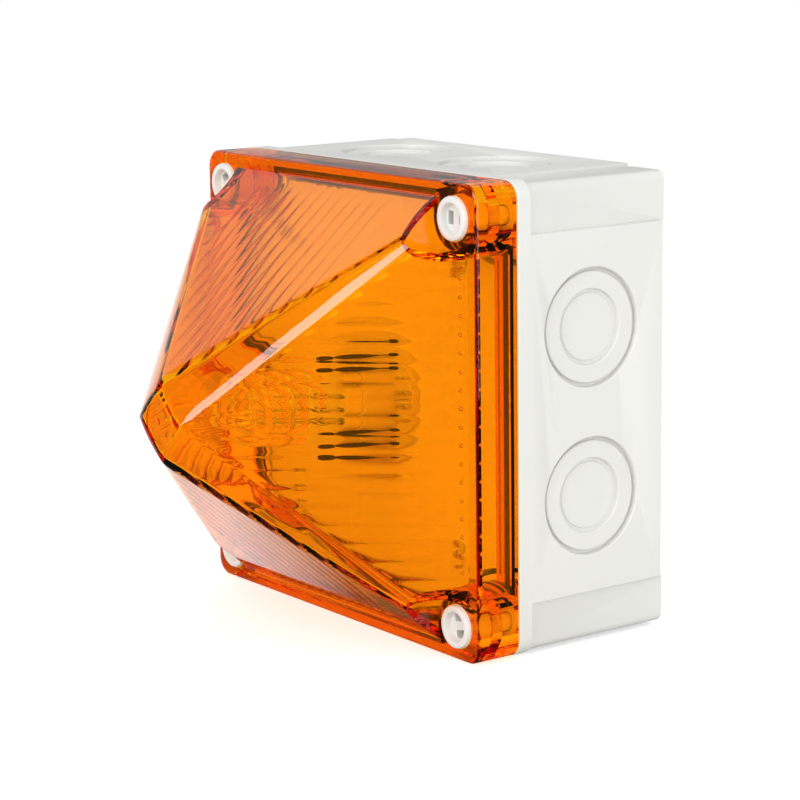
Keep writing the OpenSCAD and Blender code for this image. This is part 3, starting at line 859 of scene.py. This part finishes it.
@dataclass
class LensCover:
    """The amber cover: rim, hollow pyramid with fluted inner faces, pockets and bores for the lid screws."""

    planes: Planes = field(default_factory=Planes)  # the sizes shared with other parts
    wall: float = 2.5  # wall thickness
    base: float = 60.8  # half the pyramid's base line
    top: float = 10.3  # half the diagonal of the flat at the top
    lap: float = 1.25  # how far the pyramid reaches back into the rim
    corner: float = 5.0  # radius of the rim's corners
    front_edge: float = 1.2  # radius of the rim's front edge
    back_edge: float = 0.3  # width of the break at the rim's back
    cavity_corner: float = 2.5  # radius of the corners inside the rim
    band: float = 0.7  # how far the bands beside a chamfer are cut back at the flat
    inner_ridge: float = 0.5  # how wide the ridges are rounded inside
    least_corner: float = 0.4  # least radius of a slab's corners
    flute_pitch: float = 5.0  # width of a flute
    flute_columns: int = 8  # columns of points to a flute
    fade_in: float = 1.2  # length of the round end near the base line
    ridge_gap: float = 0.77  # how far short of the ridge a flute ends
    fade_out: float = 2.2  # length of the end near the ridge
    over_top: Fluting = Fluting(32.5, 3.952, 24.0)  # the flutes of the top and bottom faces
    over_side: Fluting = Fluting(47.5, 1.976, 8.0)  # the flutes of the left and right faces
    pit: float = 0.6  # radius of the small pit at the end of a flute
    pit_depth: float = 2.2  # its depth over the base line
    pit_rows: int = 8  # flutes with a pit on each side of the middle one
    pocket: float = 8.5  # radius of the pocket over a lid screw
    head_bore: float = 6.3  # radius of the bore round a screw's head
    shank_hole: float = 4.7  # radius of the hole for its shank
    column_well: float = 7.0  # radius of the recess behind the ledge
    ledge_front: float = -60.0  # Y of the front of the ledge under the head
    ledge_back: float = -57.0  # Y of the ledge's back
    lip: float = 8.0  # width of the lip behind the rim
    lip_front: float = -54.3  # Y of the lip's front
    lip_round: float = 10.75  # radius of the lip round a screw's axis
    # outline of the mark on the flat, as (radius, Y from the flat)
    mark: Outline = ((5.4, -1), (5.4, 0.4), (1.1, 0.4), (0.9, 0.15), (0.0, 0.1))

    def slope(self) -> float:
        """How far a main face leans in for each unit of depth."""
        return (self.base - self.top) / (self.planes.rim - self.planes.apex)

    def outer_pyramid(self) -> Pyramid:
        """The outside of the pyramid, lapped into the rim."""
        columns = np.linspace(-1, 1, 61) * (self.base + self.lap * self.slope())
        back = self.planes.rim + self.lap
        return Pyramid(columns[-1], self.top, back, self.planes.apex, columns, band=self.band)

    def inner_pyramid(self) -> Pyramid:
        """The inside of the pyramid, one wall in."""
        shrink = self.wall * (math.hypot(1, self.slope()) - self.slope())
        base = self.base - shrink + self.lap * self.slope()
        step = self.flute_pitch / self.flute_columns
        count = int(base / step)
        columns = np.concatenate([[-base], np.arange(-count, count + 1) * step, [base]])
        back, front = self.planes.rim + self.wall + self.lap, self.planes.apex + self.wall
        return Pyramid(base, self.top - shrink, back, front, columns, self.inner_ridge)

    def flutes(self, across: Array, deep: Array, turn: int) -> Array:
        """Relief of the flutes on one main face.

        Each flute is a circular hollow of radius R: at u from its middle it is
        sqrt(R^2 - u^2) - sqrt(R^2 - (p/2)^2) deep, p being the pitch. It fades in over a short round
        end near the base line and out just before the ridge. The top and bottom faces are fluted
        over their middle only; the side faces nearly to their corners.

        Args:
            across: places across the face.
            deep: their depths over the base line.
            turn: the number of the face, even for the top and bottom ones.

        Returns:
            How far the surface is pushed out.
        """
        kind = self.over_top if turn % 2 == 0 else self.over_side
        pitch = self.flute_pitch
        u = across - pitch * np.round(across / pitch)
        hollow = np.sqrt(kind.radius**2 - u**2) - math.sqrt(kind.radius**2 - pitch**2 / 4)
        inner = self.inner_pyramid()
        ridge = inner.rise * (1 - np.abs(across) / inner.base)
        fade_in = np.clip((deep - kind.start - self.lap) / self.fade_in, 0, 1)
        fade_out = np.clip((ridge - deep - self.ridge_gap) / self.fade_out, 0, 1)
        inside = np.abs(across) < kind.reach + 1e-6
        return hollow * np.sqrt(fade_in * fade_out) * inside

    def flute_ends(self) -> Mesh:
        """Cutters of the small pits at the flutes' ends beside the base line of the two side faces.

        Each is a ball: at angles a along its axis and b round it, a point lies at the middle plus the
        radius times (cos a, sin a cos b, sin a sin b).
        """
        inner = self.inner_pyramid()
        deep = self.lap + self.pit_depth
        a, b = np.linspace(0, np.pi, 9)[:, None], np.linspace(0, TURN, 13)[None, :]
        ball = self.pit * stacked(np.cos(a), np.sin(a) * np.cos(b), np.sin(a) * np.sin(b))
        out, y = inner.base - inner.slope * deep, inner.base_y - deep
        skin = Skin()
        for side in (1, -1):
            for row in range(-self.pit_rows, self.pit_rows + 1):
                skin.grid(ball + (side * out, y, row * self.flute_pitch))
        return skin.mesh("pits")

    def slab(self, half: float, radius: float, y: Sequence[float], inset: Sequence[float]) -> Mesh:
        """A square slab with round corners, its outline drawn in by the insets at the planes y."""
        inset_by = np.array(inset, float)
        outlines = rounded_squares(half - inset_by, np.maximum(radius - inset_by, self.least_corner), 10)
        return Skin().tube(loft(outlines, np.array(y))).mesh("slab")

    def rim(self) -> Mesh:
        """The rim's outside, with a round front edge and a small break at the back."""
        back, edge = self.planes.lens_back, self.front_edge
        a = np.linspace(0, np.pi / 2, 7)
        y = [back, back - self.back_edge, *(self.planes.rim + edge * (1 - np.sin(a)))]
        inset = [self.back_edge, 0, *(edge * (1 - np.cos(a)))]
        return self.slab(self.planes.half, self.corner, y, inset)

    def rods(self, radius: float, y0: float, y1: float) -> list[Mesh]:
        """Four round bars on the lid-screw axes from y0 to y1."""
        profile = [(radius, y0), (radius, y1)]
        return [Skin().tube(lathe(profile, at, 72)).mesh("rod") for at in self.planes.screws()]

    def lip_opening(self) -> Mesh:
        """The opening inside the lip: a square with its corners cut round the screw columns."""
        half = self.planes.half - self.lip
        centre, radius = self.planes.screw, self.lip_round
        start = math.pi - math.asin((half - centre) / radius)
        a = np.linspace(start, 2.5 * math.pi - start, 17)
        corner = (centre + radius * circle(a))[::-1]
        quarters = ((1, 0), (0, 1), (-1, 0), (0, -1))
        outline = np.concatenate([corner @ np.array([[c, s], [-s, c]]) for c, s in quarters])
        span = np.array([self.lip_front - PAST, self.planes.lens_back + PAST])
        return Skin().tube(loft(np.stack([outline, outline]), span)).mesh("opening")

    def top_mark(self) -> Mesh:
        """The shallow round mark on the flat, with a small sprue nub left in its middle."""
        profile = [(radius, self.planes.apex + y) for radius, y in self.mark]
        return Skin().tube(lathe(profile, (0, 0), 72)).mesh("mark")

    def build(self) -> Piece:
        """Joins and cuts the cover's solids and dresses the result."""
        planes = self.planes
        shell = combine(self.rim(), Joining.ADD, self.outer_pyramid().skin().mesh("outer"))
        span = [planes.rim + self.wall, self.lip_front]
        cavity = self.slab(planes.half - self.wall, self.cavity_corner, span, [0, 0])
        hollow = combine(cavity, Joining.ADD, self.inner_pyramid().skin(self.flutes).mesh("inner"))
        first, *others = self.rods(self.pocket + self.wall, planes.apex, planes.lens_back)
        posts = combine(combine(first, Joining.ADD, *others), Joining.KEEP_COMMON, shell.copy())
        cover = combine(combine(shell, Joining.CUT, hollow), Joining.ADD, posts)
        cuts = [
            *self.rods(self.pocket, planes.apex - PAST, planes.rim),
            *self.rods(self.head_bore, planes.rim - PAST, self.ledge_front),
            *self.rods(self.shank_hole, self.ledge_front - PAST, planes.lens_back + PAST),
            *self.rods(self.column_well, self.ledge_back, planes.lens_back + PAST),
            self.lip_opening(),
            self.top_mark(),
            self.flute_ends(),
        ]
        cover = combine(cover, Joining.CUT, *cuts)
        cover.name = "lens_cover_clear"
        crisp(cover, 32)
        return show(cover, AMBER, Body.COVER.value, "lens_cover")


@dataclass
class LidScrew:
    """A tubular lid screw with two windows in its recess."""

    at: tuple[float, float]  # its axis in X and Z
    turn: float  # the angle of the bridge in degrees
    node: str  # the CAD node it stands for; its body's name follows from it
    head: float = 6.0  # radius of the head
    front: float = -67.4  # Y of the head's front
    back: float = -60.0  # Y of the head's back
    tip: float = -42.0  # Y of the shank's tip
    recess: float = 4.2  # radius of the recess
    floor: float = -65.2  # Y of the recess's floor
    bore_front: float = -63.2  # Y where the shank's bore ends behind the floor
    shank: float = 4.4  # radius of the shank
    bore: float = 3.4  # radius of its bore
    window_half: tuple[float, float] = (1.1, 1.8)  # half the size of a window
    window_corner: float = 0.25  # radius of its corners, as a share of that
    window_at: float = 2.3  # how far a window's middle lies from the axis

    def profile(self) -> Outline:
        """The outline as (radius, Y) from the recess's middle round to the bore's, its corners broken."""
        recess, head, shank, bore = self.recess, self.head, self.shank, self.bore
        floor, front, back, tip = self.floor, self.front, self.back, self.tip
        return [
            (0, floor), (recess - 0.5, floor), (recess - 0.15, floor - 0.15), (recess, floor - 0.5),
            (recess, front + 0.3), (recess + 0.12, front + 0.08), (recess + 0.35, front),
            (head - 0.6, front), (head - 0.2, front + 0.18), (head, front + 0.6),
            (head, back - 0.2), (head - 0.2, back), (shank + 0.2, back), (shank, back + 0.2),
            (shank, tip - 0.5), (shank - 0.4, tip), (bore + 0.2, tip), (bore, tip - 0.2),
            (bore, self.bore_front), (0, self.bore_front),
        ]

    def build(self) -> Piece:
        """Turns the screw's profile, cuts its two windows and dresses it."""
        skin = Skin().grid(lathe(self.profile(), self.at, 72), around=True)
        windows = [self.window(side) for side in (1, -1)]
        mesh = combine(skin.mesh("turned", 30), Joining.CUT, *windows)
        mesh.name = self.node + "_turned"
        crisp(mesh, 30)
        return show(mesh, SCREW_WHITE, self.node + "_body", self.node)

    def window(self, side: int) -> Mesh:
        """The cutter of one window beside the bridge."""
        outline = rounded_squares(np.ones(2), np.full(2, self.window_corner), 4) * self.window_half
        a = math.radians(self.turn)
        turning = np.array([[math.cos(a), -math.sin(a)], [math.sin(a), math.cos(a)]])
        outline = (outline + (side * self.window_at, 0)) @ turning + self.at
        span = np.array([self.floor - PAST, self.bore_front + PAST])
        return Skin().tube(loft(outline, span)).mesh("window")


@dataclass
class FlashTube:
    """The coiled glass, its electrodes and the trigger wire."""

    coil: float = 9.2  # radius of the coil
    glass: float = 2.3  # radius of the glass
    base_y: float = -71.0  # the ceramic base's front
    start_y: float = -78.6  # where the coil starts
    pitch: float = 6.0  # rise in a turn
    turns: float = 3.5  # number of turns
    bend: float = 2.6  # radius of the bend from the outer leg into the coil
    leg_in: float = 2.8  # how far the inner leg stands from the middle
    crest: float = 1.2  # how far the glass rises on its way inwards
    inwards: float = 100.0  # degrees that it turns on that way
    electrode: float = 0.7  # radius of the electrodes inside the glass
    hoop: float = 12.5  # radius of the trigger wire's hoop
    wire: float = 0.5  # radius of the hoop's own wire
    post: float = 0.4  # radius of the wire of the post that carries the hoop
    post_angle: float = 200.0  # where the post stands round the Y axis, in degrees
    lead_at: tuple[float, float] = (12.6, 11.4)  # X and the distance up or down of the two electrode leads
    # a lead's outline as (radius, Y): foot, thin wire, long spindle, ferrule
    lead: Outline = (
        (1.7, -54.5), (1.7, -55.6), (0.5, -55.9), (0.45, -59.5), (0.8, -61.0), (1.5, -63.5), (2.0, -66.5),
        (2.1, -69.5), (1.8, -72.5), (0.9, -74.5), (0.5, -75.4), (0.5, -76.0), (1.5, -76.6), (1.7, -77.6),
        (1.7, -79.6), (1.2, -80.6),
    )

    def polar(self, r: Array, degrees: Array, y: Array) -> Array:
        """Points at radius r and that angle about the Y axis."""
        a = np.radians(degrees)
        return stacked(r * np.cos(a), y, r * np.sin(a))

    def route(self) -> Array:
        """The glass's middle line: up a leg, round a bend, round the coil, inwards and down its middle."""
        lead = math.degrees(self.bend / self.coil)
        whole, rise = 360 * self.turns, self.pitch * self.turns
        end_y = self.start_y - rise
        leg = self.start_y + self.bend - self.base_y
        up = self.polar(self.coil, -lead, self.base_y + leg * np.array([0, 0.5]))
        t = np.radians(np.arange(0, 90, 18))
        bend = self.polar(self.coil, -lead * np.cos(t), self.start_y + self.bend * (1 - np.sin(t)))
        a = np.arange(0, whole + 1, 20)
        coil = self.polar(self.coil, a, self.start_y - rise * a / whole)
        t = np.arange(0.2, 0.9, 0.2)
        radius = self.coil + (self.leg_in - self.coil) * t * t * (3 - 2 * t)
        inward = self.polar(radius, whole + self.inwards * t, end_y - self.crest * np.sin(math.pi * t))
        t = np.array([0.15, 0.6, 1])
        down_y = np.concatenate([[end_y + 1], end_y * (1 - t) + self.base_y * t])
        return np.concatenate([up, bend, coil, inward, self.polar(self.leg_in, whole + self.inwards, down_y)])

    def build(self) -> None:
        """Builds the glass, its two electrodes, their leads and the trigger wire."""
        route = smooth_path(self.route(), 3)
        outer = sweep(route, self.glass, 20)
        show(Skin().tube(outer).mesh("flash_tube_glass"), TUBE_GLASS, Body.BOX.value, "flash_tube")
        for name, end in (("electrode_a", route[:7]), ("electrode_b", route[-6:])):
            show(Skin().tube(sweep(end, self.electrode, 12)).mesh(name), ZINC, Body.BOX.value)
        for name, side in (("electrode_lead_upper", 1), ("electrode_lead_lower", -1)):
            rings = lathe(self.lead, (self.lead_at[0], side * self.lead_at[1]), 24)
            show(Skin().tube(rings).mesh(name), LEAD_DARK, Body.BOX.value)
        self.trigger()

    def trigger(self) -> None:
        """The bare wire: a post from the base, and a hoop round the coil's middle turn."""
        y = self.start_y - self.pitch * self.turns / 2
        line = self.polar(self.hoop, self.post_angle, np.linspace(self.base_y, y + 1.2, 5))
        post = Skin().tube(sweep(line, self.post, 12)).mesh("post")
        wire = combine(post, Joining.ADD, Skin().grid(self.ring(y)).mesh("hoop"))
        wire.name = "trigger_wire_bent"
        crisp(wire, 50)
        show(wire, ZINC, Body.BOX.value, "trigger_wire")

    def ring(self, y: float) -> Array:
        """A closed hoop: a circle of the wire's radius carried once round the Y axis."""
        a, b = np.linspace(0, TURN, 97)[:, None], np.linspace(0, TURN, 13)[None, :]
        r = self.hoop + self.wire * np.cos(b)
        return stacked(r * np.cos(a), y + self.wire * np.sin(b), r * np.sin(a))


class Enclosure:
    """The grey box, its seal, and what stands in it."""

    def build(self) -> None:
        """Softens and dresses each moulded or pressed part, with its edges broken by that width."""
        for node, finish, edge in (
            ("back_box", BOX_GREY, 0.35), ("lid_gasket", SEAL, 0.5), ("light_tray", TRAY_WHITE, 0.3),
            ("tray_screws", ZINC, 0.12), ("tray_pillars", ZINC, 0.1), ("driver_board", BOARD, 0.08),
            ("tube_socket", SOCKET, 0.25), ("socket_screws", ZINC, 0.12), ("tube_leads", LEAD_RED, 0.15),
            ("tube_base", CERAMIC, 0.25), ("storage_capacitor", CAN_BLUE, 1.0),
            ("converter_core", FERRITE, 0.3), ("converter_winding", COPPER, 0.6),
            ("trigger_coil", COIL_YELLOW, 0.5), ("film_capacitor", FILM_RED, 0.8),
            ("power_transistor", PACKAGE, 0.12), ("heat_sink", SINK, 0.15), ("heat_sink_screw", ZINC, 0.1),
            ("rectifier_diodes", PACKAGE, 0.15), ("timing_resistors", RESISTOR, 0.25),
            ("terminal_block", TERMINAL, 0.2), ("terminal_cages", ZINC, 0.1),
        ):
            softened(node, finish, edge)
        for number in range(1, 5):
            softened(f"terminal_screw_{number}", ZINC, 0.1, f"clamp_screw_{number}")


# ---------- studio ----------


def gaze(azimuth: float, elevation: float) -> Array:
    """Right, up and back, as columns, of a look at the object from that side and height in degrees."""
    a, e = math.radians(azimuth), math.radians(elevation)
    back = np.array([math.sin(a) * math.cos(e), -math.cos(a) * math.cos(e), math.sin(e)])
    right = np.cross(-back, (0, 0, 1))
    right /= np.linalg.norm(right)
    return np.stack([right, np.cross(right, -back), back], axis=-1)


def stand(thing: Piece, axes: Array, place: Array) -> Piece:
    """The camera or lamp, stood at a place in metres with those axes."""
    matrix = np.eye(4)
    matrix[:3, :3], matrix[:3, 3] = axes, place
    thing.matrix_world = Matrix(matrix.tolist())
    return thing


@dataclass
class Studio:
    """Camera, lamps, floor and the white surroundings."""

    azimuth: float = 53.89  # how far round the camera looks from, in degrees; 0 faces the cover
    elevation: float = 11.21  # how far above the level it looks from, in degrees
    roll: float = -0.796  # how far it is turned about its own line of sight, in degrees
    eye: tuple[float, float, float] = (0.5956, -0.4783, 0.1418)  # its place in metres
    focal: float = 117.2  # its focal length
    sensor: float = 36.0  # width of its sensor
    aim: tuple[float, float, float] = (0, -0.06, 0)  # the point in metres that the lamps look at
    floor_z: float = -65.2  # Z of the floor
    floor_y: float = -60.0  # Y of its middle
    floor_lift: float = 0.52  # how much the floor shines by itself where it is seen, to show white
    ambient: float = 0.76  # the level of the surroundings that lights
    room: float = 0.05  # the level of the room in reflections
    table_dim: float = 0.65  # how much the table dims above the horizon in reflections
    wall: float = 0.36  # the level of the wall in reflections
    through: int = 24  # how often light is followed through clear material
    off: int = 16  # how often it is followed off gloss and past clear shadows

    def camera(self) -> None:
        """Puts the camera at its place, turned by azimuth, elevation and roll."""
        data = bpy.data.cameras.new("camera")
        data.lens, data.sensor_width = self.focal, self.sensor
        data.clip_start, data.clip_end = 0.01, 50.0
        c, s = math.cos(math.radians(self.roll)), math.sin(math.radians(self.roll))
        rolled = gaze(self.azimuth, self.elevation) @ np.array([[c, -s, 0], [s, c, 0], [0, 0, 1]])
        bpy.context.scene.camera = stand(linked("camera", data), rolled, self.eye)

    def lamp(self, name: str, side: float, height: float, distance: float, size: float, power: float) -> None:
        """An area lamp that looks at the object.

        Args:
            name: the lamp's name.
            side: its azimuth in degrees.
            height: its elevation in degrees.
            distance: metres from the object.
            size: its width in metres.
            power: watts.
        """
        data = bpy.data.lights.new(name, "AREA")
        data.size, data.energy = size, power
        axes = gaze(side, height)
        stand(linked(name, data), axes, axes[:, 2] * distance + self.aim)

    def world(self) -> None:
        """White where it is seen, and a plain soft level where it lights.

        Gloss shows, behind the object only, a white table that dims above the horizon and a pale wall
        higher up, and elsewhere the dim room.
        """
        world = bpy.data.worlds.new("surroundings")
        bpy.context.scene.world = world
        tree = Tree(world)
        path = tree.add("ShaderNodeLightPath", {}, {})
        place = tree.add("ShaderNodeTexCoord", {}, {})["Generated"]
        way = tree.add("ShaderNodeSeparateXYZ", {}, {"Vector": place})
        a = math.radians(self.azimuth)
        # The limits are parts of a unit step: away from the camera, and up.
        behind = (way["Y"] * math.cos(a) - way["X"] * math.sin(a)).ramp(0.42, 0.56)
        table = way["Z"].ramp(-0.505, -0.475) * (1 - way["Z"].ramp(-0.03, 0.11) * self.table_dim)
        wall = way["Z"].ramp(0.2, 0.4) * self.wall
        gloss = self.room + (table + wall) * behind
        looks = path["Is Camera Ray"].math("MAXIMUM", path["Is Transmission Ray"])
        level = self.ambient + (gloss - self.ambient) * path["Is Glossy Ray"]
        level = level + (1 - level) * looks
        light = tree.add("ShaderNodeBackground", {}, {"Color": WHITE, "Strength": level})["Background"]
        tree.add("ShaderNodeOutputWorld", {}, {"Surface": light})

    def floor(self) -> None:
        """A round pale floor that shows white and keeps the shadow."""
        a, r = np.linspace(0, TURN, 97)[None, :], np.array([0.0, 150.0, 300.0])[:, None]
        x, y = r * np.cos(a), r * np.sin(a) + self.floor_y
        grid = Skin().grid(stacked(x, y, self.floor_z))
        mesh = bpy.data.meshes.new("studio_floor")
        mesh.from_pydata(grid.points[0] * MM, [], grid.quads[0])
        floor = linked("studio_floor", mesh)
        material = bpy.data.materials.new("studio_floor")
        tree = Tree(material)
        pale = tree.add("ShaderNodeBsdfDiffuse", {}, {"Color": (0.8, 0.8, 0.8)})["BSDF"]
        path = tree.add("ShaderNodeLightPath", {}, {})
        looks = path["Is Camera Ray"].math("MAXIMUM", path["Is Glossy Ray"])
        looks = looks.math("MAXIMUM", path["Is Transmission Ray"])
        strength = looks * self.floor_lift
        lift = tree.add("ShaderNodeEmission", {}, {"Color": WHITE, "Strength": strength})["Emission"]
        tree.surface(tree.add("ShaderNodeAddShader", {}, {"Shader": (pale, lift)})["Shader"])
        mesh.materials.append(material)
        floor.visible_glossy = False

    def build(self) -> None:
        """Sets the view, how far light is followed inside clear material, the surroundings and the floor."""
        scene = bpy.context.scene
        scene.view_settings.view_transform = "Standard"
        scene.cycles.max_bounces = scene.cycles.transmission_bounces = self.through
        scene.cycles.glossy_bounces = scene.cycles.transparent_max_bounces = self.off
        self.world()
        self.lamp("key", side=85, height=10, distance=1.5, size=1.1, power=7.4)
        self.lamp("front", side=16, height=26, distance=1.6, size=0.62, power=9.3)
        self.floor()


def main() -> None:
    """Builds the studio, then the beacon's sub-assemblies in order."""
    logging.basicConfig(level=logging.INFO, format="%(name)s: %(message)s")
    studio = Studio()
    studio.camera()
    studio.build()
    Enclosure().build()
    FlashTube().build()
    screw = Planes().screw
    for corner, x, z, turn in (("tr", 1, 1, 0), ("tl", -1, 1, 60), ("br", 1, -1, 80), ("bl", -1, -1, 20)):
        LidScrew((x * screw, z * screw), turn, "lid_screw_" + corner).build()
    LensCover().build()


if __name__ == "__main__":
    main()
